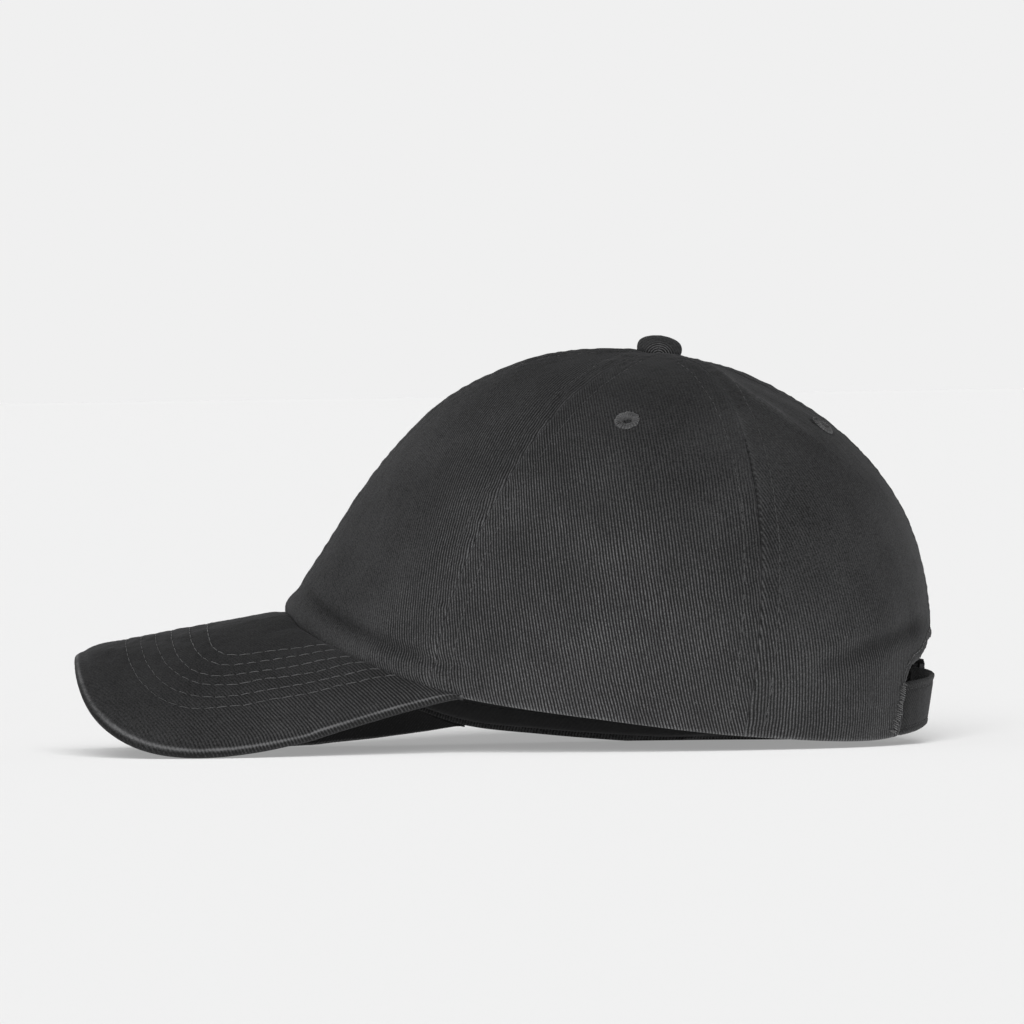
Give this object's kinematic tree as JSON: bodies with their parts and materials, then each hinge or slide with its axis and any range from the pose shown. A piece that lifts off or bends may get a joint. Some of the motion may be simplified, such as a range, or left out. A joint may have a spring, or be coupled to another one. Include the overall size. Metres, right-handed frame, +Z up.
{
  "type": "dad hat",
  "caption": "Low-profile dad hat in washed charcoal cotton: sewn panels, thread eyelets, covered button, curved stitched peak, sweatband, rear strap with slide buckle.",
  "frame": {"origin": "centre of the bottom of the bounding box", "axes": "+Z up, the peak points to -Y, the wearer's left side is +X"},
  "size_m": [0.1748, 0.275, 0.1316],
  "materials": {
    "twill": "washed matt twill",
    "peak_twill": "washed matt twill over a board",
    "thread": "satin-stitched thread",
    "band_cotton": "plain matt cotton",
    "buckle_metal": "dull dark coating"
  },
  "bodies": {
    "root": {"front_panel_left": "twill", "front_panel_right": "twill", "side_panel_left": "twill", "side_panel_right": "twill", "back_panel_left": "twill", "back_panel_right": "twill", "eyelet_side_left": "thread", "eyelet_side_right": "thread", "eyelet_back_left": "thread", "eyelet_back_right": "thread", "button": "twill", "peak": "peak_twill", "sweatband": "band_cotton", "strap_left": "twill", "strap_right": "twill", "buckle": "buckle_metal"}
  },
  "joints": []
}
